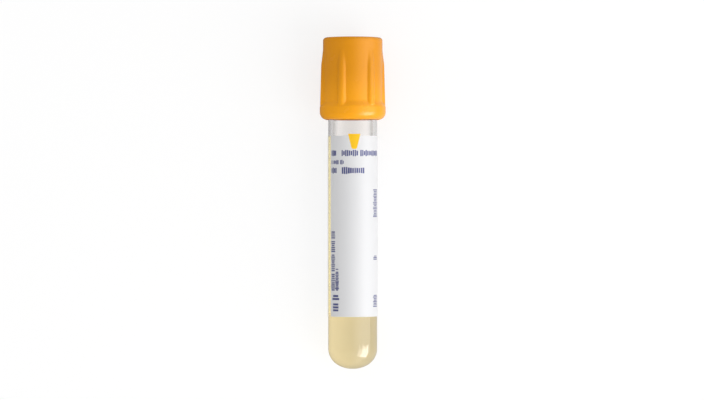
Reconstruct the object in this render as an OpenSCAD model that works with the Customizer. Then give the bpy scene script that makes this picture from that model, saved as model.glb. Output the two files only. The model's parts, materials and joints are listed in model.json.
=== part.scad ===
// Evacuated blood collection tube: clear domed tube, gel plug, wrap label, rubber stopper and its
// ribbed plastic shield. Each piece is drawn about the tube's own axis, bottom of the dome at zero,
// and is then laid down on the surface as the capped tube comes to rest: cap towards +Y, +Z up.
// Turns round the axis are counted from the side that ends up on top, positive towards +X.

/* [Tube] */
// Length of the bare tube, dome to rim
tube_length = 75; // [45:0.5:125]
// Outside diameter of the tube
tube_od = 13; // [10.8:0.1:15.8]
// Wall of the tube
tube_wall = 1; // [0.8:0.05:1.4]
// Outside radius of the crown of the domed bottom
dome_crown_r = 8; // [7:0.1:12]
// Outside radius of the knuckle between crown and straight wall
dome_knuckle_r = 5.1; // [3:0.1:5.3]
// Rounding of the two edges of the rim
rim_round = 0.35; // [0.1:0.05:0.35]
// Radius of the dimple that the moulding gate leaves under the dome
gate_r = 0.9; // [0.5:0.1:1.2]
// Depth of that dimple
gate_depth = 0.2; // [0.1:0.05:0.3]

/* [Gel] */
// Height of the gel's surface above the underside of the dome
gel_level = 14.6; // [10:0.1:30]
// Dip of the gel's surface at its middle
gel_dip = 0.6; // [0.2:0.1:1.5]
// Film between gel and tube
gel_gap = 0.02; // [0.01:0.01:0.05]

/* [Label] */
// Height of the label's lower edge
label_low = 14; // [9:0.1:30]
// Bare neck between the label and the shield
neck_bare = 4.3; // [1:0.1:15]
// Thickness of the label
label_thick = 0.1; // [0.05:0.01:0.25]
// Film of adhesive between tube and label
label_glue = 0.02; // [0.01:0.01:0.05]
// Viewing gap between the label's two ends, in degrees
label_gap = 20; // [10:1:120]
// Turn of the middle of the viewing gap, in degrees
label_gap_turn = -71; // [-180:1:180]

/* [Shield] */
// Height of the shield above the rim of the tube
shield_rise = 13.1; // [12:0.1:18]
// Length of skirt that overlaps the tube
skirt_overlap = 8.8; // [8:0.1:14]
// Clearance between the tube and the inside of the skirt
skirt_gap = 0.35; // [0.3:0.05:0.8]
// Wall of the skirt between the ribs, which runs on up into the collar
shield_wall = 1.06; // [0.9:0.02:1.5]
// Wall of the band round the lower end of the skirt
band_wall = 1.91; // [1.8:0.01:2.4]
// Height of the band
band_height = 4.2; // [3:0.1:6]
// Rounding of the band's lower outside edge
band_round = 2; // [1:0.1:2]
// Rounding of the ledge on top of the band
ledge_round = 0.4; // [0.1:0.05:0.4]
// Rounding of the collar's outside edge at the top
collar_round = 0.9; // [0.4:0.1:1]
// Rounding of the needle well's mouth
mouth_round = 0.5; // [0.2:0.1:0.5]
// Rounding of the shield's inside edges
edge_round = 0.3; // [0.1:0.05:0.4]

/* [Grip ribs] */
// Number of grip ribs
rib_count = 6; // [4:1:10]
// Radius of a rib's round section
rib_r = 1.25; // [0.9:0.05:1.4]
// How far the ribs stand in from the band's face where they meet it
rib_inset = 0.03; // [0.02:0.01:0.2]
// How much further they stand in at their knee
rib_taper = 0.27; // [0.1:0.01:0.4]
// Depth of the knee below the top of the shield
rib_knee = 7.3; // [6.5:0.1:9]
// Depth below the top of the shield at which the ribs have run out into the collar
rib_fade = 3; // [2:0.1:4]
// Turn of the first rib, in degrees
rib_turn = 38; // [0:1:90]

/* [Stopper] */
// Length of the plug inside the tube
plug_length = 6.9; // [5:0.1:8]
// Radial running clearance of the plug in the tube
plug_gap = 0.05; // [0.02:0.01:0.1]
// Number of relief grooves between the plug's sealing bands
groove_count = 2; // [1:1:3]
// Width of a relief groove
groove_width = 1.5; // [1:0.1:1.6]
// Depth of a relief groove
groove_depth = 0.3; // [0.1:0.05:0.4]
// Thickness of the flange that sits on the rim
flange_thick = 2.6; // [2:0.1:3.5]
// Thickness of the stopper's head above its waist
head_thick = 2.6; // [2:0.1:3.5]
// Play between stopper and shield
stopper_play = 0.05; // [0.02:0.01:0.1]
// Rounding of the stopper's rubber edges
rubber_round = 0.4; // [0.2:0.05:0.5]
// Drop of the stopper's face below the floor of the needle well
face_drop = 0.3; // [0.1:0.1:0.8]
// Radius of the needle dish in that face
dish_r = 2.8; // [2:0.1:3.2]
// Depth of the needle dish
dish_depth = 1.8; // [1:0.1:2.5]
// Radius of the hollow in the plug's lower end
hollow_r = 3.6; // [2.5:0.1:3.8]
// Depth of that hollow
hollow_depth = 3.2; // [2:0.1:3.5]

/* [Hold of the stopper] */
// Thickness of the ledge that grips the stopper's waist
grip_thick = 1.5; // [1:0.1:2]
// How far the grip ledge reaches in from the inside of the skirt
grip_reach = 1.3; // [0.8:0.05:1.6]
// Thickness of the upper ledge, which is the floor of the needle well
floor_thick = 1.2; // [1:0.1:1.6]
// How far the upper ledge reaches in from the wall of the needle well
floor_reach = 1.8; // [1.2:0.1:2.2]
// Wall of the needle well and of the chamber below it
well_wall = 1.5; // [1.3:0.05:1.8]

/* [Hidden] */
$fn = 96;
// Overshoot of a cut past the face it opens
over = 1;
// Lip behind a rounding, so that it meets its neighbours
lip = 0.2;
// Length that a rib runs on inside the band and inside the collar
rib_root = 0.5;
rib_run_out = 1;
// Lap of a rib's two bars at its knee, and how much thinner the upper one is
rib_lap = 0.3;
rib_step = 0.03;
// Turn at which each round surface starts and ends, away from the line it rests on
seam_turn = 10;

// Tube
tube_r = tube_od / 2;
bore_r = tube_r - tube_wall;
rim_z = tube_length;
dome_height = dome_crown_r
    - sqrt(pow(dome_crown_r - dome_knuckle_r, 2) - pow(tube_r - dome_knuckle_r, 2));

// Shield, from the rim of the tube
skirt_low = rim_z - skirt_overlap;
shield_top = rim_z + shield_rise;
skirt_r = tube_r + skirt_gap;
collar_r = skirt_r + shield_wall;
band_r = skirt_r + band_wall;
band_top = skirt_low + band_height;
well_r = collar_r - well_wall;
grip_r = skirt_r - grip_reach;
mouth_r = well_r - floor_reach;

// Levels of the stopper and of the ledges that hold it
flange_top = rim_z + flange_thick;
grip_low = flange_top + stopper_play;
grip_top = grip_low + grip_thick;
head_low = grip_top + stopper_play;
head_top = head_low + head_thick;
floor_low = head_top + stopper_play;
floor_top = floor_low + floor_thick;
face_z = floor_top - face_drop;
plug_low = rim_z - plug_length;
plug_r = bore_r - plug_gap;

// Label
label_top = skirt_low - neck_bare;
label_r = tube_r + label_glue;

// Rest: the surface touches the dome's knuckle and the rounding under the band
rest_run = skirt_low + band_round - dome_height;
rest_rise = (band_r - band_round) - (tube_r - dome_knuckle_r);
rest_tilt = atan(rest_rise / rest_run)
    - asin((dome_knuckle_r - band_round) / norm([rest_run, rest_rise]));
rest_z = dome_knuckle_r + (tube_r - dome_knuckle_r) * cos(rest_tilt)
    - dome_height * sin(rest_tilt);

// Rest: middle of the length between the dome's crown and the collar's rounding
dome_end = dome_crown_r * (cos(rest_tilt) - 1);
collar_end = (shield_top - collar_round) * cos(rest_tilt)
    + (collar_r - collar_round) * sin(rest_tilt) + collar_round;
rest_y = -(dome_end + collar_end) / 2;

// Lays what is drawn about the tube's axis down on the surface, its -Y side on top
module laid_down() {
    translate([0, rest_y, rest_z])
        rotate([rest_tilt - 90, 0, 0])
            children();
}

// Turns what is drawn on the +X side to an angle counted from the top
module turned(angle) {
    rotate([0, 0, angle - 90])
        children();
}

// Sweeps a section full round the axis
module round_piece() {
    turned(90 + seam_turn)
        rotate_extrude()
            children();
}

// Spandrel outside a rounding, for a corner at the origin that reaches right and up, with a lip
// behind it: taken away it rounds an edge, and added it fillets an inside corner
module corner(radius) {
    difference() {
        translate([-lip, -lip])
            square(radius + lip);
        translate([radius, radius])
            circle(radius);
    }
}

// What rounds the lower outside edge of a section
module low_edge(radius, low, rounding) {
    translate([radius, low])
        mirror([1, 0])
            corner(rounding);
}

// What rounds the upper outside edge of a section
module high_edge(radius, high, rounding) {
    translate([radius, high])
        rotate(180)
            corner(rounding);
}

// What rounds the upper inside edge of a wall
module mouth_edge(radius, high, rounding) {
    translate([radius, high])
        mirror([0, 1])
            corner(rounding);
}

// Section from the axis out to a radius, between two heights
module disc_section(radius, low, high) {
    translate([0, low])
        square([radius, high - low]);
}

// Circle through the axis and through a rim of a given radius, for a dished or hollowed end
module dish_section(radius, depth, level, up) {
    sphere_r = (radius * radius + depth * depth) / (2 * depth);
    translate([0, level + up * (sphere_r - depth)])
        circle(sphere_r);
}

// Section of the tube's outside, or of what lies inside it at a given inset
module domed_section(inset, high) {
    across = tube_r - dome_knuckle_r;
    down = dome_crown_r - dome_height;
    reach = 2 * dome_crown_r;
    disc_section(tube_r - inset, dome_height, high);
    // Knuckle
    translate([across, dome_height])
        intersection() {
            circle(dome_knuckle_r - inset);
            translate([0, -dome_knuckle_r])
                square(dome_knuckle_r);
        }
    // Crown, inside the cone from its centre through the knuckle's
    intersection() {
        translate([0, dome_crown_r])
            circle(dome_crown_r - inset);
        polygon([
            [0, dome_crown_r],
            [0, dome_crown_r - reach],
            [across * reach / down, dome_crown_r - reach]
        ]);
    }
}

// Clear moulded tube with a domed bottom, a rounded rim and the gate's dimple
module tube() {
    color([0.86, 0.9, 0.93, 0.4])
        laid_down()
            round_piece()
                difference() {
                    domed_section(0, rim_z);
                    domed_section(tube_wall, rim_z + over);
                    high_edge(tube_r, rim_z, rim_round);
                    mouth_edge(bore_r, rim_z, rim_round);
                    dish_section(gate_r, gate_depth, 0, -1);
                }
}

// Separator gel that fills the dome, its surface a shallow meniscus
module gel() {
    color([0.87, 0.8, 0.6])
        laid_down()
            round_piece()
                difference() {
                    domed_section(tube_wall + gel_gap, gel_level + gel_dip);
                    dish_section(bore_r - gel_gap, gel_dip, gel_level + gel_dip, 1);
                }
}

// Printed film wrapped round the tube, its ends a viewing gap apart
module label() {
    color([0.96, 0.96, 0.97])
        laid_down()
            turned(label_gap_turn + label_gap / 2)
                rotate_extrude(angle = 360 - label_gap)
                    translate([label_r, label_low])
                        square([label_thick, label_top - label_low]);
}

// Section of the rubber stopper: plug, flange on the rim, waist, head and face
module stopper_section() {
    flange_r = skirt_r - stopper_play;
    head_r = well_r - stopper_play;
    face_r = mouth_r - stopper_play;
    groove_pitch = plug_length / (groove_count + 1);
    groove_curve = (pow(groove_width / 2, 2) + pow(groove_depth, 2)) / (2 * groove_depth);
    difference() {
        union() {
            disc_section(plug_r, plug_low, rim_z + over);
            disc_section(flange_r, rim_z, flange_top);
            disc_section(grip_r - stopper_play, flange_top - over, head_low + over);
            disc_section(head_r, head_low, head_top);
            disc_section(face_r, head_top - over, face_z);
        }
        low_edge(plug_r, plug_low, rubber_round);
        low_edge(flange_r, rim_z, rubber_round);
        high_edge(flange_r, flange_top, rubber_round);
        low_edge(head_r, head_low, rubber_round);
        high_edge(head_r, head_top, rubber_round);
        high_edge(face_r, face_z, rubber_round);
        for (i = [1 : groove_count])
            translate([plug_r - groove_depth + groove_curve, plug_low + i * groove_pitch])
                circle(groove_curve);
        dish_section(dish_r, dish_depth, face_z, 1);
        dish_section(hollow_r, hollow_depth, plug_low, -1);
    }
}

// Rubber stopper
module stopper() {
    color([0.55, 0.53, 0.51])
        laid_down()
            round_piece()
                stopper_section();
}

// Outside of the shield without its ribs: collar, recessed wall, ledge and band
module shield_outside() {
    difference() {
        disc_section(collar_r, skirt_low + band_round, shield_top);
        high_edge(collar_r, shield_top, collar_round);
    }
    difference() {
        disc_section(band_r, skirt_low, band_top);
        low_edge(band_r, skirt_low, band_round);
        high_edge(band_r, band_top, ledge_round);
    }
    translate([collar_r, band_top])
        corner(ledge_round);
}

// Inside of the shield: skirt, grip ledge, chamber for the head, upper ledge and needle well
module shield_inside() {
    disc_section(skirt_r, skirt_low - over, grip_low);
    disc_section(grip_r, grip_low - over, grip_top + over);
    disc_section(well_r, grip_top, floor_low);
    disc_section(mouth_r, floor_low - over, floor_top + over);
    disc_section(well_r, floor_top, shield_top + over);
    translate([skirt_r, skirt_low])
        corner(edge_round);
    translate([grip_r, grip_low])
        corner(edge_round);
    mouth_edge(mouth_r, floor_top, edge_round);
    mouth_edge(well_r, shield_top, mouth_round);
}

// One grip rib: a round bar that leans out down the skirt, and a second that dives from its upper
// end into the collar
module rib() {
    root_r = band_r - rib_inset - rib_r;
    knee_r = root_r - rib_taper;
    knee_z = shield_top - rib_knee;
    high_r = rib_r - rib_step;
    lean = atan(rib_taper / (knee_z - band_top));
    dive = atan((knee_r + high_r - collar_r) / (rib_knee - rib_fade));
    low_length = (knee_z - band_top) / cos(lean) + rib_root;
    high_length = (rib_knee - rib_fade) / cos(dive) + rib_run_out;
    translate([knee_r, 0, knee_z]) {
        rotate([0, 180 - lean, 0])
            translate([0, 0, -rib_lap])
                cylinder(r = rib_r, h = low_length + rib_lap);
        rotate([0, -dive, 0])
            cylinder(r = high_r, h = high_length);
    }
}

// Moulded closure shield
module shield() {
    color([0.98, 0.64, 0.12])
        laid_down()
            difference() {
                union() {
                    round_piece()
                        shield_outside();
                    for (i = [0 : rib_count - 1])
                        turned(rib_turn + i * 360 / rib_count)
                            rib();
                }
                round_piece()
                    shield_inside();
            }
}

tube();
gel();
label();
stopper();
shield();
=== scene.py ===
"""Looks of a capped blood collection tube that lies on a plain pale floor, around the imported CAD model.

Every piece is drawn about the tube's own axis, bottom of the dome at zero, as the CAD model is: +Z
runs up the tube to its closure, and -Y is the side that ends up on top. at_rest() lays it down.
Lengths are in millimetres and turns in degrees, unless a comment says otherwise.
"""

import json
import math

import bmesh
import bpy
from mathutils import Matrix, Vector


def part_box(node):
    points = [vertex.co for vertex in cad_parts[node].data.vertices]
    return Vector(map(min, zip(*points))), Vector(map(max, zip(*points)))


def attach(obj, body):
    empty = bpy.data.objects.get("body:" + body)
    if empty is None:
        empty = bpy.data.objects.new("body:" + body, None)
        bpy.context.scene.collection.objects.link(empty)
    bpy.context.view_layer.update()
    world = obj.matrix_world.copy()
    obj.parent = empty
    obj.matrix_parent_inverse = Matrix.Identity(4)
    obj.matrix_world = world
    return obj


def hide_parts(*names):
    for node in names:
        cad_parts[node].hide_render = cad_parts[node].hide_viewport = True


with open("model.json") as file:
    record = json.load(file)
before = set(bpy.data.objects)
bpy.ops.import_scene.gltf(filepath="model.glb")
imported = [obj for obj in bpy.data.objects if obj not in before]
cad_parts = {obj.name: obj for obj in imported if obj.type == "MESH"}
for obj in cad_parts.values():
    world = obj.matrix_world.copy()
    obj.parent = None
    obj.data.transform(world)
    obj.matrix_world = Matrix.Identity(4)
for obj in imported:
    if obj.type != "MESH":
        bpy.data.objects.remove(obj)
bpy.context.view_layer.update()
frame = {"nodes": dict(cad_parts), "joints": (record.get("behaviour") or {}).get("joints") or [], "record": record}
mounts = {mount["name"]: mount for mount in frame["record"]["mounts"]}
MM = 0.001

# Points nearer to each other than this are one
SAME_POINT = 1e-5

# Tube; its straight wall starts with a ring a little above the dome
TUBE_R = mounts["rack_end"]["dims"]["r_mm"]
WALL = 1.0
BORE_R = TUBE_R - WALL
RIM_Z = 75.0
RIM_ROUND = 0.35
CROWN_R = 8.0
KNUCKLE_R = 5.1
KNUCKLE_OUT = TUBE_R - KNUCKLE_R
KNUCKLE_ANGLE = math.degrees(math.asin(KNUCKLE_OUT / (CROWN_R - KNUCKLE_R)))
DOME_HEIGHT = CROWN_R - math.sqrt((CROWN_R - KNUCKLE_R) ** 2 - KNUCKLE_OUT ** 2)
WALL_START = 0.15
GATE_R = 0.9
GATE_DEPTH = 0.2

# Gel, which bites a hair into the wall so that no air shows between them
GEL_LEVEL = 14.6
GEL_DIP = 0.6
GEL_BITE = 0.02

# Label; places round the tube are turns from the top side, positive towards +X
LABEL_LOW = 14.0
LABEL_TOP = 61.9
LABEL_R = TUBE_R + 0.02
LABEL_THICK = 0.1
LABEL_START = -61.0
LABEL_TURN = 340.0
PRINT_R = LABEL_R + LABEL_THICK

# Fill marker, a wedge that widens upward from a round foot; its turn is in radians
MARKER_TURN = 0.06
MARKER_LOW = 58.4
MARKER_HEIGHT = 4.0
MARKER_FOOT_HALF = 0.66
MARKER_TOP_HALF = 1.66
MARKER_ROUND = 0.4
MARKER_BACK_R = LABEL_R + 0.01
MARKER_FRONT_R = PRINT_R + 0.012

# Shield, from its skirt's open end to the needle well
SKIRT_LOW = mounts["rack_end"]["dims"]["length_mm"]
SHIELD_TOP = RIM_Z + 13.1
SKIRT_R = 6.85
COLLAR_R = 7.91
BAND_R = mounts["holder_guide"]["dims"]["r_mm"]
BAND_TOP = SKIRT_LOW + 4.2
BAND_ROUND = 2.0
LEDGE_SOFT = 0.95
LEDGE_STEPS = 16
COLLAR_ROUND = 0.9
MOUTH_ROUND = 0.5
EDGE_ROUND = 0.3
WELL_R = mounts["needle_well"]["dims"]["r_mm"]
GRIP_R = 5.55
GRIP_LOW = 77.65
GRIP_TOP = 79.15
FLOOR_LOW = 81.85
FLOOR_TOP = 83.05
MOUTH_R = 4.61

# Grip ribs of the shield; knee, end and sink are depths below its top
RIB_PITCH = 60
RIB_TURN = 38
RIB_R = 1.25
RIB_FOOT_OUT = BAND_R - 0.03
RIB_KNEE_OUT = RIB_FOOT_OUT - 0.27
RIB_KNEE = 7.3
RIB_SINK = 3.2
RIB_END = 3.0

# Camera over the tube's middle; its height is in metres
VIEW_LEVEL = 44.9
VIEW_ASIDE = -0.2
VIEW_HEIGHT = 1.0
VIEW_LENS = 192.3

# Axes of the row frame, for a node that reads one of them
ACROSS = 0
ALONG = 1
HEIGHT = 2


def posed(x_axis, y_axis, z_axis, spot):
    """The matrix that puts something at a spot, its own axes along three directions."""
    return Matrix((
        (x_axis.x, y_axis.x, z_axis.x, spot.x),
        (x_axis.y, y_axis.y, z_axis.y, spot.y),
        (x_axis.z, y_axis.z, z_axis.z, spot.z),
        (0, 0, 0, 1),
    ))


# The tube's own axis in the row frame
foot = Vector(mounts["rack_end"]["pos_m"])
along = Vector(frame["joints"][0]["axis"]).normalized()
across = Vector((1, 0, 0))
upward = across.cross(along)
middle = foot + along * VIEW_LEVEL * MM
AT_REST = posed(across, -upward, along, foot) @ Matrix.Scale(MM, 4)


# Outlines: lists of (radius, height) points

def arc(centre_r, centre_z, radius, start, end, steps):
    """Points on a circle; an angle of 0 points outward and 90 up the axis."""
    points = []
    for i in range(steps + 1):
        angle = math.radians(start + (end - start) * i / steps)
        points.append((centre_r + radius * math.cos(angle), centre_z + radius * math.sin(angle)))
    return points


def filled(points, step):
    """The same outline with extra points on its long straights."""
    dense = []
    for (r0, z0), (r1, z1) in zip(points, points[1:]):
        pieces = max(1, round(math.hypot(r1 - r0, z1 - z0) / step))
        dense += [(r0 + (r1 - r0) * i / pieces, z0 + (z1 - z0) * i / pieces) for i in range(pieces)]
    return dense + [points[-1]]


def dome(inset, gate):
    """The domed end at an inset from the tube's outside, from the axis out to the straight wall."""
    points = arc(0, CROWN_R, CROWN_R - inset, -90, -90 + KNUCKLE_ANGLE, 18)
    points[0] = (0.0, points[0][1])
    if gate:
        points = [(r, z + GATE_DEPTH * max(0.0, 1 - (r / GATE_R) ** 2) ** 2) for r, z in points]
    points += arc(KNUCKLE_OUT, DOME_HEIGHT, KNUCKLE_R - inset, -90 + KNUCKLE_ANGLE, 0, 26)[1:]
    return points + [(TUBE_R - inset, DOME_HEIGHT + WALL_START)]


def tube_outline():
    """Section of the tube, up the outside, over the rim and down the bore."""
    rim_out = arc(TUBE_R - RIM_ROUND, RIM_Z - RIM_ROUND, RIM_ROUND, 0, 90, 8)
    rim_in = arc(BORE_R + RIM_ROUND, RIM_Z - RIM_ROUND, RIM_ROUND, 90, 180, 8)
    return dome(0, gate=True) + rim_out + rim_in + dome(WALL, gate=False)[::-1]


def gel_outline():
    """Section of the gel, whose surface dips in the middle."""
    gel_r = BORE_R + GEL_BITE
    surface_r = (gel_r ** 2 + GEL_DIP ** 2) / (2 * GEL_DIP)
    half = math.degrees(math.asin(gel_r / surface_r))
    surface = arc(0, GEL_LEVEL + surface_r, surface_r, -90 + half, -90, 20)
    surface[-1] = (0.0, GEL_LEVEL)
    return dome(WALL - GEL_BITE, gate=False) + surface


def shield_outline():
    """Closed section of the shield without its ribs, up the outside and down the inside."""
    outside = arc(BAND_R - BAND_ROUND, SKIRT_LOW + BAND_ROUND, BAND_ROUND, -90, 0, 20)
    for i in range(LEDGE_STEPS + 1):
        rise = i / LEDGE_STEPS
        ease = rise * rise * (3 - 2 * rise)
        outside.append((BAND_R + (COLLAR_R - BAND_R) * ease, BAND_TOP + LEDGE_SOFT * (2 * rise - 1)))
    outside += arc(COLLAR_R - COLLAR_ROUND, SHIELD_TOP - COLLAR_ROUND, COLLAR_ROUND, 0, 90, 12)
    inside = arc(WELL_R + MOUTH_ROUND, SHIELD_TOP - MOUTH_ROUND, MOUTH_ROUND, 90, 180, 10)
    inside += [(WELL_R, FLOOR_TOP)]
    inside += arc(MOUTH_R + EDGE_ROUND, FLOOR_TOP - EDGE_ROUND, EDGE_ROUND, 90, 180, 6)
    inside += [(MOUTH_R, FLOOR_LOW), (WELL_R, FLOOR_LOW), (WELL_R, GRIP_TOP), (GRIP_R, GRIP_TOP)]
    inside += arc(GRIP_R + EDGE_ROUND, GRIP_LOW + EDGE_ROUND, EDGE_ROUND, 180, 270, 6)
    inside += [(SKIRT_R, GRIP_LOW)]
    inside += arc(SKIRT_R + EDGE_ROUND, SKIRT_LOW + EDGE_ROUND, EDGE_ROUND, 180, 270, 6)
    return filled(outside, step=0.3) + filled(inside, step=1.0) + [outside[0]]


# Meshes

def in_scene(name, data):
    """An object around a mesh, a lamp or a camera, put into the scene."""
    thing = bpy.data.objects.new(name, data)
    bpy.context.scene.collection.objects.link(thing)
    return thing


def bare(name):
    """An object with an empty mesh, for a Geometry Nodes tree to fill."""
    return in_scene(name, bpy.data.meshes.new(name))


def as_object(name, mesh):
    """A smooth object from a bmesh, its doubles merged."""
    bmesh.ops.remove_doubles(mesh, verts=mesh.verts, dist=SAME_POINT)
    for face in mesh.faces:
        face.smooth = True
    piece = bare(name)
    mesh.to_mesh(piece.data)
    mesh.free()
    return piece


def sweep(name, outline, steps):
    """An outline swept round the axis, its faces outward; ends of the outline on the axis are closed."""
    mesh = bmesh.new()
    turns = [2 * math.pi * i / steps for i in range(steps)]
    rings = []
    for r, z in outline:
        if r < SAME_POINT:
            rings.append([mesh.verts.new((0, 0, z))] * steps)
        else:
            rings.append([mesh.verts.new((r * math.cos(turn), r * math.sin(turn), z)) for turn in turns])
    for low, high in zip(rings, rings[1:]):
        for i in range(steps):
            j = (i + 1) % steps
            corners = []
            for vert in (low[i], low[j], high[j], high[i]):
                if vert not in corners:
                    corners.append(vert)
            mesh.faces.new(corners)
    return as_object(name, mesh)


def crisp(piece, angle=50):
    """Keeps edges sharper than an angle crisp under smooth shading."""
    piece.data.set_sharp_from_angle(angle=math.radians(angle))


def at_rest(piece):
    """Lays a piece drawn about the tube's axis down on the floor, in metres."""
    piece.data.transform(AT_REST)
    piece.data.update()


def grown(piece, tree, values):
    """Runs a Geometry Nodes tree on a piece with its inputs set by name, and keeps the plain mesh."""
    modifier = piece.modifiers.new("grown", "NODES")
    modifier.node_group = tree
    for item in tree.interface.items_tree:
        if item.item_type == "SOCKET" and item.in_out == "INPUT" and item.name in values:
            modifier[item.identifier] = values[item.name]
    bpy.context.view_layer.update()
    solid = piece.evaluated_get(bpy.context.evaluated_depsgraph_get())
    data = bpy.data.meshes.new_from_object(solid)
    piece.modifiers.remove(modifier)
    piece.data = data


# Node trees

class Tree:
    """Short hand for building a node tree: add() makes a node, links its inputs and sets its values."""

    def __init__(self, tree):
        self.tree = tree

    def add(self, kind, inputs=(), **settings):
        node = self.tree.nodes.new(kind)
        for name, value in settings.items():
            setattr(node, name, value)
        for key, value in dict(inputs).items():
            if isinstance(value, bpy.types.NodeSocket):
                self.tree.links.new(value, node.inputs[key])
            else:
                node.inputs[key].default_value = value
        return node

    def link(self, start, end):
        self.tree.links.new(start, end)

    def show(self, shader):
        """Makes a shader the one that the material shows."""
        self.link(shader, self.tree.nodes["Material Output"].inputs["Surface"])

    def math(self, operation, *values):
        return self.add("ShaderNodeMath", enumerate(values), operation=operation).outputs[0]

    def vector(self, x=0.0, y=0.0, z=0.0):
        return self.add("ShaderNodeCombineXYZ", {0: x, 1: y, 2: z}).outputs[0]

    def split(self, vector):
        """X, Y and Z of a vector."""
        return self.add("ShaderNodeSeparateXYZ", {0: vector}).outputs

    def squared(self, value):
        return self.math("MULTIPLY", value, value)

    def from_axis(self, x, y):
        """Distance of a point from the tube's axis."""
        return self.math("SQRT", self.math("ADD", self.squared(x), self.squared(y)))

    def place(self, axis):
        """How far a point of a finished piece lies along one axis of the row frame, in metres."""
        return self.split(self.add("ShaderNodeTexCoord").outputs["Object"])[axis]

    def eased(self, value, start, end, low=0.0, high=1.0):
        """A number that eases from low to high while a value goes from start to end."""
        return self.add("ShaderNodeMapRange", {
            "Value": value,
            "From Min": start,
            "From Max": end,
            "To Min": low,
            "To Max": high,
        }, interpolation_type="SMOOTHSTEP").outputs[0]

    def tone(self, share, first, second, way="MIX"):
        """A colour mixed from two, by a share from 0 to 1."""
        mix = self.add("ShaderNodeMix", {0: share, 6: first, 7: second}, data_type="RGBA", blend_type=way)
        return mix.outputs[2]

    def mixed(self, share, first, second):
        """A shader mixed from two, by a share from 0 to 1."""
        return self.add("ShaderNodeMixShader", {0: share, 1: first, 2: second}).outputs[0]


def new_group(name, kind, inputs, outputs):
    """A node group with named sockets; gives its Tree, its inputs and its output node."""
    group = bpy.data.node_groups.new(name, kind)
    for label, socket, value in inputs:
        item = group.interface.new_socket(label, in_out="INPUT", socket_type=socket)
        if value is not None:
            item.default_value = value
    for label, socket in outputs:
        group.interface.new_socket(label, in_out="OUTPUT", socket_type=socket)
    tree = Tree(group)
    entry = tree.add("NodeGroupInput")
    leave = tree.add("NodeGroupOutput")
    return tree, {socket.name: socket for socket in entry.outputs if socket.name}, leave


NUMBER = "NodeSocketFloat"
SHAPE = "NodeSocketGeometry"


# Grip ribs of the shield

def grip_rib_tree(gold):
    """Raises round ribs out of a swept shield: each leans out down the skirt and dives into the collar."""
    tree, given, leave = new_group("grip ribs", "GeometryNodeTree", [
        ("Shield", SHAPE, None),
        ("Pitch", NUMBER, 1.0),
        ("First turn", NUMBER, 0.0),
        ("Rib radius", NUMBER, 1.25),
        ("Foot level", NUMBER, 0.0),
        ("Foot depth", NUMBER, 0.4),
        ("Foot reach", NUMBER, 0.0),
        ("Knee level", NUMBER, 0.0),
        ("Knee reach", NUMBER, 0.0),
        ("Knee softness", NUMBER, 0.12),
        ("Dive slope", NUMBER, 0.1),
        ("Sink level", NUMBER, 0.0),
        ("Sink length", NUMBER, 1.5),
        ("Sink depth", NUMBER, 0.5),
        ("Root fillet", NUMBER, 0.25),
        ("Outer side from", NUMBER, 7.5),
    ], [("Shield", SHAPE)])
    x, y, z = tree.split(tree.add("GeometryNodeInputPosition").outputs[0])
    m = tree.math
    radius = tree.from_axis(x, y)
    turn = m("ARCTAN2", x, m("MULTIPLY", y, -1.0))
    half = m("MULTIPLY", given["Pitch"], 0.5)
    off = m("WRAP", m("SUBTRACT", turn, given["First turn"]), half, m("MULTIPLY", half, -1.0))
    # How far a rib's crest stands out at each level
    lean = m("DIVIDE", m("SUBTRACT", given["Foot reach"], given["Knee reach"]),
             m("SUBTRACT", given["Knee level"], given["Foot level"]))
    skirt = m("ADD", given["Knee reach"], m("MULTIPLY", lean, m("SUBTRACT", given["Knee level"], z)))
    dive = m("SUBTRACT", given["Knee reach"],
             m("MULTIPLY", given["Dive slope"], m("SUBTRACT", z, given["Knee level"])))
    crest = m("SMOOTH_MIN", skirt, dive, given["Knee softness"])
    # Outer side of the rib's round bar, seen from the axis, which sinks into the collar at its top
    centre = m("SUBTRACT", crest, given["Rib radius"])
    aside = m("MULTIPLY", centre, m("SINE", off))
    bulge = m("SUBTRACT", tree.squared(given["Rib radius"]), tree.squared(aside))
    bar = m("ADD", m("MULTIPLY", centre, m("COSINE", off)), m("SQRT", m("MAXIMUM", bulge, 0.0)))
    sink_end = m("ADD", given["Sink level"], given["Sink length"])
    sunk = tree.eased(z, given["Sink level"], sink_end, low=0.0, high=given["Sink depth"])
    bar = m("SUBTRACT", bar, sunk)
    raised = m("SMOOTH_MAX", radius, bar, given["Root fillet"])
    raised = m("MINIMUM", raised, m("MAXIMUM", radius, crest))
    stretch = m("DIVIDE", raised, radius)
    outside = m("MULTIPLY", m("GREATER_THAN", radius, given["Outer side from"]),
                m("GREATER_THAN", z, m("SUBTRACT", given["Foot level"], given["Foot depth"])))
    shaped = tree.add("GeometryNodeSetPosition", {
        "Geometry": given["Shield"],
        "Selection": outside,
        "Position": tree.vector(m("MULTIPLY", x, stretch), m("MULTIPLY", y, stretch), z),
    }).outputs[0]
    real = tree.add("GeometryNodeRealizeInstances", {0: shaped}).outputs[0]
    painted = tree.add("GeometryNodeSetMaterial", {"Geometry": real, "Material": gold}).outputs[0]
    tree.link(painted, leave.inputs[0])
    return tree.tree


# Label film and its print, laid out flat and then wrapped round the tube

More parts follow.
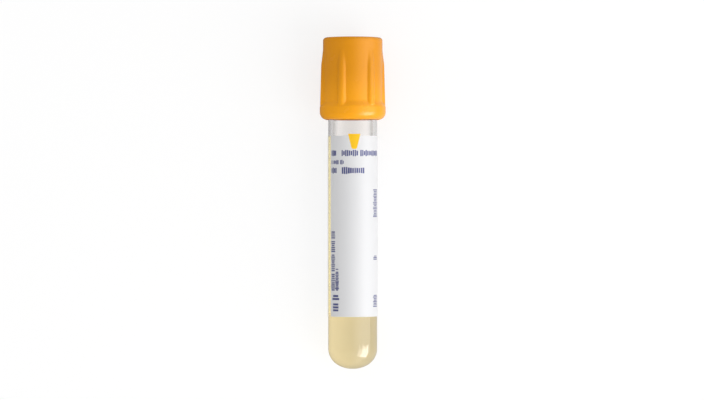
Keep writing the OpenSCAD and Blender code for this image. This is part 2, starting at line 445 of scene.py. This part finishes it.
def wrap_group():
    """Wraps a flat layout round the tube: X runs round it, Y up it and Z out of it."""
    tree, given, leave = new_group("wrap round the tube", "GeometryNodeTree", [
        ("Layout", SHAPE, None),
        ("Radius", NUMBER, 6.5),
    ], [("Wrapped", SHAPE)])
    x, y, z = tree.split(tree.add("GeometryNodeInputPosition").outputs[0])
    m = tree.math
    turn = m("DIVIDE", x, given["Radius"])
    reach = m("ADD", given["Radius"], z)
    round_it = tree.vector(
        m("MULTIPLY", reach, m("SINE", turn)),
        m("MULTIPLY", reach, m("MULTIPLY", m("COSINE", turn), -1.0)),
        y,
    )
    wrapped = tree.add("GeometryNodeSetPosition", {"Geometry": given["Layout"], "Position": round_it})
    tree.link(wrapped.outputs[0], leave.inputs[0])
    return tree.tree


def label_tree(wrap, film, adhesive):
    """A sheet of film with its adhesive side inward, wrapped round the tube."""
    tree, given, leave = new_group("label", "GeometryNodeTree", [
        ("Start", SHAPE, None),
        ("Radius", NUMBER, 6.5),
        ("Left end", NUMBER, 0.0),
        ("Length round", NUMBER, 38.0),
        ("Lower edge", NUMBER, 14.0),
        ("Height", NUMBER, 48.0),
        ("Thickness", NUMBER, 0.1),
    ], [("Label", SHAPE)])
    m = tree.math
    sheet = tree.add("GeometryNodeMeshGrid", {
        "Size X": given["Length round"],
        "Size Y": given["Height"],
        "Vertices X": 241,
        "Vertices Y": 25,
    }).outputs[0]
    centre = tree.vector(
        m("ADD", given["Left end"], m("MULTIPLY", given["Length round"], 0.5)),
        m("ADD", given["Lower edge"], m("MULTIPLY", given["Height"], 0.5)),
    )
    laid = tree.add("GeometryNodeTransform", {"Geometry": sheet, "Translation": centre}).outputs[0]
    printed = tree.add("GeometryNodeExtrudeMesh", {
        "Mesh": laid,
        "Offset Scale": given["Thickness"],
        "Individual": False,
    }, mode="FACES").outputs[0]
    both_sides = tree.add("GeometryNodeJoinGeometry")
    tree.link(printed, both_sides.inputs[0])
    tree.link(tree.add("GeometryNodeFlipFaces", {0: laid}).outputs[0], both_sides.inputs[0])
    closed = tree.add("GeometryNodeMergeByDistance", {
        "Geometry": both_sides.outputs[0],
        "Distance": 0.001,
    }).outputs[0]
    wrapped = tree.add("GeometryNodeGroup", {"Layout": closed, "Radius": given["Radius"]}, node_tree=wrap)
    smooth = tree.add("GeometryNodeSetShadeSmooth", {"Geometry": wrapped.outputs[0]}).outputs[0]
    real = tree.add("GeometryNodeRealizeInstances", {0: smooth}).outputs[0]
    # The faces against the tube are the adhesive side, and all others are film
    x, y, _ = tree.split(tree.add("GeometryNodeInputPosition").outputs[0])
    near_tube = m("ADD", given["Radius"], m("MULTIPLY", given["Thickness"], 0.25))
    inner = m("LESS_THAN", tree.from_axis(x, y), near_tube)
    outer = tree.add("GeometryNodeSetMaterial", {"Geometry": real, "Material": film}).outputs[0]
    glued = tree.add("GeometryNodeSetMaterial", {
        "Geometry": outer,
        "Selection": inner,
        "Material": adhesive,
    }).outputs[0]
    tree.link(glued, leave.inputs[0])
    return tree.tree


def print_row_group():
    """A row of small plain bars on the flat layout, with gaps, that runs round the tube or up it."""
    tree, given, leave = new_group("row of bars", "GeometryNodeTree", [
        ("Turn", NUMBER, 0.0),
        ("Level", NUMBER, 0.0),
        ("Length", NUMBER, 5.0),
        ("Bar height", NUMBER, 1.0),
        ("Pitch", NUMBER, 0.3),
        ("Weight", NUMBER, 0.9),
        ("Upright", NUMBER, 0.0),
        ("Gap share", NUMBER, 0.08),
        ("Least width", NUMBER, 0.7),
        ("Least height", NUMBER, 0.6),
        ("Radius", NUMBER, 6.6),
        ("Ink thickness", NUMBER, 0.02),
        ("Seed", "NodeSocketInt", 1),
    ], [("Row", SHAPE)])
    m = tree.math
    pitch = m("MULTIPLY", given["Bar height"], given["Pitch"])
    spots = tree.add("GeometryNodeMeshLine", {
        "Count": m("ROUND", m("DIVIDE", given["Length"], pitch)),
        "Offset": tree.vector(pitch),
    }).outputs[0]
    gap = tree.add("FunctionNodeRandomValue", {
        "Probability": given["Gap share"],
        "Seed": given["Seed"],
    }, data_type="BOOLEAN")
    inked = tree.add("GeometryNodeDeleteGeometry", {0: spots, "Selection": gap.outputs[3]}, domain="POINT")
    size = tree.vector(m("MULTIPLY", pitch, given["Weight"]), given["Bar height"], given["Ink thickness"])
    bar = tree.add("GeometryNodeMeshCube", {"Size": size, "Vertices Y": 5}).outputs[0]
    uneven = tree.add("FunctionNodeRandomValue", {
        0: tree.vector(given["Least width"], given["Least height"], 1.0),
        1: (1.0, 1.0, 1.0),
        "Seed": m("ADD", given["Seed"], 7.0),
    }, data_type="FLOAT_VECTOR").outputs[0]
    row = tree.add("GeometryNodeInstanceOnPoints", {
        "Points": inked.outputs[0],
        "Instance": bar,
        "Scale": uneven,
    }).outputs[0]
    round_to = m("MULTIPLY", m("RADIANS", given["Turn"]), given["Radius"])
    moved = tree.add("GeometryNodeTransform", {
        "Geometry": row,
        "Translation": tree.vector(round_to, given["Level"]),
        "Rotation": tree.vector(z=m("MULTIPLY", given["Upright"], math.pi / 2)),
    })
    tree.link(moved.outputs[0], leave.inputs[0])
    return tree.tree


def print_tree(row, wrap, ink, rows):
    """All rows of bars of one ink, wrapped round the label; a row's place in the list is its seed."""
    tree, given, leave = new_group("label print", "GeometryNodeTree", [
        ("Start", SHAPE, None),
        ("Radius", NUMBER, 6.6),
    ], [("Print", SHAPE)])
    all_rows = tree.add("GeometryNodeJoinGeometry")
    for seed, values in enumerate(rows):
        inputs = {"Seed": seed, "Radius": given["Radius"], **values}
        bars = tree.add("GeometryNodeGroup", inputs, node_tree=row)
        tree.link(bars.outputs[0], all_rows.inputs[0])
    flat = tree.add("GeometryNodeRealizeInstances", {0: all_rows.outputs[0]}).outputs[0]
    wrapped = tree.add("GeometryNodeGroup", {"Layout": flat, "Radius": given["Radius"]}, node_tree=wrap)
    inked = tree.add("GeometryNodeSetMaterial", {"Geometry": wrapped.outputs[0], "Material": ink})
    tree.link(inked.outputs[0], leave.inputs[0])
    return tree.tree


# Finishes

def surface_group():
    """Fine moulded or coated surface: Grain is its texture for a bump, Drift its slow uneven tone."""
    tree, given, leave = new_group("surface", "ShaderNodeTree", [
        ("Grain size", NUMBER, 0.15),
        ("Drift size", NUMBER, 6.0),
    ], [("Grain", NUMBER), ("Drift", NUMBER)])
    place = tree.add("ShaderNodeTexCoord").outputs["Object"]
    grain = tree.add("ShaderNodeTexNoise", {
        "Vector": place,
        "Scale": tree.math("DIVIDE", 1 / MM, given["Grain size"]),
        "Detail": 3.0,
        "Roughness": 0.55,
    }).outputs[0]
    drift = tree.add("ShaderNodeTexNoise", {
        "Vector": place,
        "Scale": tree.math("DIVIDE", 1 / MM, given["Drift size"]),
        "Detail": 2.0,
    }).outputs[0]
    tree.link(grain, leave.inputs["Grain"])
    tree.link(drift, leave.inputs["Drift"])
    return tree.tree


def finish(name, surface, tones, roughness, grain, drift, bump=0.0, settings=()):
    """A Principled material whose tone and roughness drift between two values, with a fine bump."""
    material = bpy.data.materials.new(name)
    material.use_nodes = True
    tree = Tree(material.node_tree)
    shader = material.node_tree.nodes["Principled BSDF"]
    skin = tree.add("ShaderNodeGroup", {"Grain size": grain, "Drift size": drift}, node_tree=surface)
    colour = tree.tone(skin.outputs["Drift"], (*tones[0], 1), (*tones[1], 1))
    tree.link(colour, shader.inputs["Base Color"])
    rough = tree.add("ShaderNodeMapRange", {
        "Value": skin.outputs["Drift"],
        "To Min": roughness[0],
        "To Max": roughness[1],
    })
    tree.link(rough.outputs[0], shader.inputs["Roughness"])
    if bump:
        raised = tree.add("ShaderNodeBump", {
            "Height": skin.outputs["Grain"],
            "Strength": 1.0,
            "Distance": bump * MM,
        })
        tree.link(raised.outputs[0], shader.inputs["Normal"])
    for socket, value in dict(settings).items():
        shader.inputs[socket].default_value = value
    return material, tree, shader


def own_tone(shader):
    """The socket that a finish's colour comes from."""
    return shader.inputs["Base Color"].links[0].from_socket


def retone(tree, shader, share, tone, way="MIX"):
    """Mixes another tone into a finish's own, by a share that changes over the piece."""
    tree.link(tree.tone(share, own_tone(shader), tone, way), shader.inputs["Base Color"])


def glowing(tree, shader, share):
    """A finish that also shows a share of the light that falls on its far side, as thin film does."""
    behind = tree.add("ShaderNodeBsdfTranslucent", {"Color": own_tone(shader)}).outputs[0]
    return tree.mixed(share, shader.outputs[0], behind)


def let_lamps_through(tree, shown, share, tint, trapped=None):
    """Lets a share of the lamps' light pass straight through, so that what lies behind isn't dark.

    Light that has been thrown back and forth in a clear wall more than `trapped` times gets out of it too.
    """
    path = tree.add("ShaderNodeLightPath").outputs
    passing = tree.math("MULTIPLY", path["Is Shadow Ray"], share)
    if trapped:
        passing = tree.math("MAXIMUM", passing, tree.math("GREATER_THAN", path["Ray Depth"], trapped))
    let_by = tree.add("ShaderNodeBsdfTransparent", {0: (*tint, 1)}).outputs[0]
    tree.show(tree.mixed(passing, shown, let_by))


def gold_plastic(surface):
    """Gold plastic with painted shade: its tone is deeper where the thick collar covers the rubber than on the
    thin skirt, in place of the light that the skirt lets through.
    """
    material, tree, shader = finish(
        "gold moulded plastic", surface,
        tones=((0.955, 0.375, 0.002), (0.975, 0.39, 0.004)),
        roughness=(0.22, 0.30), grain=0.16, drift=5.0, bump=0.0020,
        settings={"IOR": 1.49, "Specular IOR Level": 0.4},
    )
    skirt_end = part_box("shield")[0][1] + 3.0 * MM
    collar_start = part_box("shield")[1][1] - 8.0 * MM
    # Painted shade: the tone deepens up the shield, where less light comes through the collar
    painted_shade_over_rubber = tree.eased(tree.place(ALONG), skirt_end, collar_start)
    retone(tree, shader, painted_shade_over_rubber, (0.77, 0.29, 0.001, 1))
    return material


def label_film(surface):
    """White film, so thin that the lamps reach what lies behind it."""
    material, tree, shader = finish(
        "white label film", surface,
        tones=((0.72, 0.72, 0.73), (0.74, 0.74, 0.75)),
        roughness=(0.42, 0.5), grain=0.25, drift=9.0, bump=0.0012,
        settings={"Specular IOR Level": 0.35},
    )
    let_lamps_through(tree, shader.outputs[0], share=0.9, tint=(1, 1, 1))
    return material


def adhesive_side(surface):
    """The film's back, seen through the clear wall: a translucent share shows the light that crosses it, and a
    painted glow, its emission, adds more of that light.
    """
    material, tree, shader = finish(
        "cream adhesive side", surface,
        tones=((0.96, 0.87, 0.56), (0.98, 0.89, 0.60)),
        roughness=(0.5, 0.6), grain=0.2, drift=4.0,
        # The emission is a painted glow
        settings={"Emission Color": (0.98, 0.93, 0.74, 1.0), "Emission Strength": 0.64},
    )
    let_lamps_through(tree, glowing(tree, shader, share=0.6), share=0.9, tint=(1, 1, 1))
    return material


def separator_gel(surface):
    """Milky gel, lit largely by a painted glow: its emission is strongest on the side away from the lamps, in
    place of the light that crosses the gel and gathers there.
    """
    material, tree, shader = finish(
        "beige separator gel", surface,
        tones=((0.12, 0.10, 0.06), (0.135, 0.11, 0.065)),
        roughness=(0.6, 0.7), grain=0.4, drift=3.5, bump=0.002,
        settings={
            "IOR": 1.45,
            "Specular IOR Level": 0.0,
            "Subsurface Weight": 1.0,
            "Subsurface Radius": (1.0, 0.9, 0.7),
            "Subsurface Scale": 0.02,
            "Emission Strength": 0.92,
        },
    )
    # Painted glow: the emission fades from the side away from the lamps to the side facing them
    painted_glow_fade = tree.add("ShaderNodeMapRange", {
        "Value": tree.place(ACROSS),
        "From Min": -BORE_R * MM,
        "From Max": BORE_R * MM,
    }).outputs[0]
    painted_glow_tone = tree.tone(painted_glow_fade, (0.86, 0.72, 0.41, 1), (0.523, 0.438, 0.25, 1))
    tree.link(painted_glow_tone, shader.inputs["Emission Color"])
    let_lamps_through(tree, shader.outputs[0], share=0.8, tint=(1.0, 0.96, 0.85))
    return material


def clear_plastic(surface):
    """Clear plastic; on the empty neck, painted shade greys it towards its sides, painted light lifts its very
    edges, and a faint painted warm tint stands in for the gold closure's light.
    """
    material, tree, shader = finish(
        "clear tube plastic", surface,
        tones=((0.955, 0.965, 0.965), (0.975, 0.98, 0.98)),
        roughness=(0.0, 0.012), grain=1.5, drift=7.0,
        settings={"IOR": 1.575, "Transmission Weight": 1.0},
    )
    # Painted shade and light on the empty neck, by how squarely the wall faces the camera
    grazing = tree.add("ShaderNodeLayerWeight", {"Blend": 0.5}).outputs["Facing"]
    painted_greyer_sides = tree.eased(grazing, 0.2, 0.58, low=0.99, high=0.54)
    painted_lighter_edges = tree.eased(grazing, 0.64, 0.88, low=0.0, high=0.5)
    shade = tree.math("ADD", painted_greyer_sides, painted_lighter_edges)
    # A faint painted warm tint, for light from the gold closure
    painted_warm_shade = tree.add("ShaderNodeCombineColor", {
        0: shade,
        1: tree.math("MULTIPLY", shade, 0.975),
        2: tree.math("MULTIPLY", shade, 0.965),
    }).outputs[0]
    empty = tree.math("GREATER_THAN", tree.place(ALONG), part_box("label")[1][1] - 0.5 * MM)
    retone(tree, shader, empty, painted_warm_shade, "MULTIPLY")
    let_lamps_through(tree, shader.outputs[0], share=1.0, tint=(0.93, 0.94, 0.94), trapped=3)
    return material


surface = surface_group()
gold = gold_plastic(surface)
film = label_film(surface)
adhesive = adhesive_side(surface)
navy, _, _ = finish(
    "navy printing ink", surface,
    tones=((0.075, 0.08, 0.22), (0.10, 0.11, 0.27)),
    roughness=(0.4, 0.5), grain=0.1, drift=0.6,
)
amber, _, _ = finish(
    "amber printing ink", surface,
    tones=((0.93, 0.53, 0.004), (0.96, 0.57, 0.008)),
    roughness=(0.4, 0.48), grain=0.1, drift=1.5,
    settings={"Specular IOR Level": 0.35},
)
gel_finish = separator_gel(surface)
rubber, _, _ = finish(
    "grey moulded rubber", surface,
    tones=((0.22, 0.21, 0.20), (0.26, 0.25, 0.235)),
    roughness=(0.55, 0.68), grain=0.12, drift=3.0, bump=0.004,
    settings={"Specular IOR Level": 0.4},
)
clear = clear_plastic(surface)


# Pieces

def kept(piece, material, body, slot, *nodes):
    """Finishes a piece, lets it ride on a body and stand for its CAD node."""
    if material:
        piece.data.materials.clear()
        piece.data.materials.append(material)
    at_rest(piece)
    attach(piece, body)
    if nodes:
        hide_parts(*nodes)


tube = sweep("tube_skin", filled(tube_outline(), step=3.0), steps=256)
kept(tube, clear, "tube_body", "tube_plastic", "tube")

gel = sweep("gel_plug", gel_outline(), steps=192)
crisp(gel)
kept(gel, gel_finish, "tube_body", "separator_gel", "gel")

shield = sweep("shield_body", shield_outline(), steps=360)
grown(shield, grip_rib_tree(gold), {
    "Pitch": math.radians(RIB_PITCH),
    "First turn": math.radians(RIB_TURN),
    "Rib radius": RIB_R,
    "Foot level": BAND_TOP,
    "Foot depth": 0.4,
    "Foot reach": RIB_FOOT_OUT,
    "Knee level": SHIELD_TOP - RIB_KNEE,
    "Knee reach": RIB_KNEE_OUT,
    "Knee softness": 0.12,
    "Dive slope": (RIB_KNEE_OUT - COLLAR_R) / (RIB_KNEE - RIB_END),
    "Sink level": SHIELD_TOP - RIB_SINK,
    "Sink length": 1.5,
    "Sink depth": 0.5,
    "Root fillet": 0.3,
    "Outer side from": 7.5,
})
crisp(shield)
kept(shield, gold, "closure", "shield_plastic", "shield")

wrap = wrap_group()
label = bare("label_film")
grown(label, label_tree(wrap, film, adhesive), {
    "Radius": LABEL_R,
    "Left end": math.radians(LABEL_START) * LABEL_R,
    "Length round": math.radians(LABEL_TURN) * LABEL_R,
    "Lower edge": LABEL_LOW,
    "Height": LABEL_TOP - LABEL_LOW,
    "Thickness": LABEL_THICK,
})
crisp(label)
kept(label, None, "tube_body", "label_film", "label")


def row(turn, level, length, height, **others):
    """One row of printed bars by its place, length and height, with any other inputs that it sets."""
    return {"Turn": turn, "Level": level, "Length": length, "Bar height": height, **others}


def upright(turn, level, length, height, **others):
    """A row that runs up the tube."""
    return row(turn, level, length, height, Upright=1, **others)


ROWS = [
    row(-56, 57.3, 2.1, 1.6),
    row(-25, 57.3, 11.9, 1.7),
    row(-56, 54.9, 4.4, 1.3),
    row(-56, 52.7, 2.4, 1.8),
    row(-24, 52.7, 6.2, 1.9),
    upright(-52, 21.1, 15.6, 1.7, Weight=0.75),
    upright(-39, 21.1, 6.0, 1.3),
    upright(-43.5, 18.7, 1.5, 2.6),
    upright(-43.5, 15.7, 2.0, 2.6),
    upright(65, 40.5, 7.6, 2.6, Pitch=0.16, Weight=0.7),
    upright(65, 29.2, 1.3, 2.3, Pitch=0.18, Weight=0.7),
    upright(65, 16.7, 3.2, 2.6, Pitch=0.16, Weight=0.7),
]
bars = bare("label_print")
grown(bars, print_tree(print_row_group(), wrap, navy, ROWS), {"Radius": PRINT_R})
kept(bars, None, "tube_body", "label_film")


def marker_half(level):
    """Half width of the fill marker at a level above its lower end."""
    half = MARKER_FOOT_HALF + (MARKER_TOP_HALF - MARKER_FOOT_HALF) * level / MARKER_HEIGHT
    if level < MARKER_ROUND:
        half -= MARKER_ROUND - math.sqrt(MARKER_ROUND ** 2 - (MARKER_ROUND - level) ** 2)
    return half


def marker():
    """Amber fill marker, whose top stands up above the label as a small tab."""
    mesh = bmesh.new()
    foot_steps, steps, columns = 8, 12, 12
    levels = [MARKER_ROUND * (1 - math.cos(math.pi / 2 * i / foot_steps)) for i in range(foot_steps)]
    levels += [MARKER_ROUND + (MARKER_HEIGHT - MARKER_ROUND) * i / steps for i in range(steps + 1)]
    skins = []
    for reach in (MARKER_BACK_R, MARKER_FRONT_R):
        lines = []
        for level in levels:
            line = []
            for i in range(columns + 1):
                turn = MARKER_TURN + marker_half(level) * (2 * i / columns - 1) / PRINT_R
                spot = (reach * math.sin(turn), -reach * math.cos(turn), MARKER_LOW + level)
                line.append(mesh.verts.new(spot))
            lines.append(line)
        skins.append(lines)
    back, front = skins
    last = len(levels) - 1
    for j in range(last):
        for i in range(columns):
            mesh.faces.new((front[j][i], front[j][i + 1], front[j + 1][i + 1], front[j + 1][i]))
            mesh.faces.new((back[j][i], back[j + 1][i], back[j + 1][i + 1], back[j][i + 1]))
        mesh.faces.new((back[j][0], front[j][0], front[j + 1][0], back[j + 1][0]))
        mesh.faces.new((front[j][columns], back[j][columns], back[j + 1][columns], front[j + 1][columns]))
    for i in range(columns):
        mesh.faces.new((back[0][i], back[0][i + 1], front[0][i + 1], front[0][i]))
        mesh.faces.new((front[last][i], front[last][i + 1], back[last][i + 1], back[last][i]))
    return as_object("fill_marker", mesh)


mark = marker()
crisp(mark, angle=40)
kept(mark, amber, "tube_body", "label_film")

stopper = frame["nodes"]["stopper"]
stopper.data.materials.clear()
stopper.data.materials.append(rubber)


# Floor, room light and lamps

def floor_finish():
    """Pale floor: it keeps the object's shadow and is otherwise plain white."""
    material = bpy.data.materials.new("pale floor")
    material.use_nodes = True
    tree = Tree(material.node_tree)
    material.node_tree.nodes.remove(material.node_tree.nodes["Principled BSDF"])
    lit = tree.add("ShaderNodeBsdfDiffuse", {0: (0.8, 0.8, 0.8, 1)}).outputs[0]
    shaded = tree.add("ShaderNodeBsdfDiffuse", {0: (1.0, 1.0, 1.0, 1)}).outputs[0]
    white = tree.add("ShaderNodeEmission", {0: (1, 1, 1, 1), 1: 1.0}).outputs[0]
    seen = tree.mixed(0.25, white, shaded)
    # Mirrored in the object, it is bright on the lamps' side and dim on the other
    toward_lamps = tree.eased(tree.place(ACROSS), -0.01, 0.02, low=0.15, high=0.75)
    mirrored = tree.add("ShaderNodeEmission", {0: (1, 1, 1, 1), 1: toward_lamps}).outputs[0]
    path = tree.add("ShaderNodeLightPath").outputs
    shown = tree.mixed(path["Is Glossy Ray"], lit, mirrored)
    open_view = tree.math("MAXIMUM", path["Is Camera Ray"], path["Is Transmission Ray"])
    tree.show(tree.mixed(open_view, shown, seen))
    return material


def room_light():
    """A plain pale room, white to the camera."""
    world = bpy.data.worlds.new("studio")
    world.use_nodes = True
    world.node_tree.nodes.clear()
    tree = Tree(world.node_tree)
    around = tree.add("ShaderNodeBackground", {0: (1, 1, 1, 1), 1: 0.78}).outputs[0]
    white = tree.add("ShaderNodeBackground", {0: (1, 1, 1, 1), 1: 1.0}).outputs[0]
    facing = tree.split(tree.add("ShaderNodeTexCoord").outputs["Generated"])
    # Mirrored in the object, the room is bright to the right and dim to the left and overhead
    toward_lamps = tree.eased(facing[ACROSS], -0.2, 0.85, low=0.1, high=2.0)
    mirrored = tree.add("ShaderNodeBackground", {0: (1, 1, 1, 1), 1: toward_lamps}).outputs[0]
    # Through the clear wall it is white all round, with a dimmer ceiling over it
    walls = tree.eased(facing[HEIGHT], 0.15, 0.7, low=1.0, high=0.3)
    through = tree.add("ShaderNodeBackground", {0: (1, 1, 1, 1), 1: walls}).outputs[0]
    path = tree.add("ShaderNodeLightPath").outputs
    shown = tree.mixed(path["Is Camera Ray"], around, white)
    shown = tree.mixed(path["Is Glossy Ray"], shown, mirrored)
    shown = tree.mixed(path["Is Transmission Ray"], shown, through)
    tree.link(shown, tree.add("ShaderNodeOutputWorld").inputs["Surface"])
    return world


def softbox(name, toward, distance, size, radiance):
    """A soft lamp, itself unseen, that faces the object's middle, two of its sides square to the tube.

    It stands toward (right, up the tube, away from the floor); its distance and size are in metres.
    """
    lamp = bpy.data.lights.new(name, "AREA")
    lamp.shape = "RECTANGLE"
    lamp.size, lamp.size_y = size
    lamp.energy = radiance * math.pi * size[0] * size[1]
    facing = (across * toward[0] + along * toward[1] + upward * toward[2]).normalized()
    side = (along - facing * facing.dot(along)).normalized()
    piece = in_scene(name, lamp)
    piece.matrix_world = posed(side, facing.cross(side), facing, middle + facing * distance)
    piece.visible_camera = False
    return piece


mesh = bmesh.new()
bmesh.ops.create_grid(mesh, x_segments=1, y_segments=1, size=3.0)
floor = as_object("floor", mesh)
floor.data.materials.append(floor_finish())

bpy.context.scene.world = room_light()
sheen = softbox("sheen_softbox", (0.80, -0.432, 0.416), distance=0.95, size=(0.737, 0.54), radiance=4.2)
sheen.visible_diffuse = False
softbox("key_softbox", (0.74, -0.43, 0.516), distance=0.9, size=(0.684, 0.86), radiance=2.65)


# Camera, square to the tube

lens = bpy.data.cameras.new("camera")
lens.sensor_width = 36
lens.lens = VIEW_LENS
lens.clip_end = 20
camera = in_scene("camera", lens)
eye = middle + across * VIEW_ASIDE * MM + upward * VIEW_HEIGHT
camera.matrix_world = posed(across, along, upward, eye)
bpy.context.scene.camera = camera
bpy.context.scene.view_settings.view_transform = "Standard"
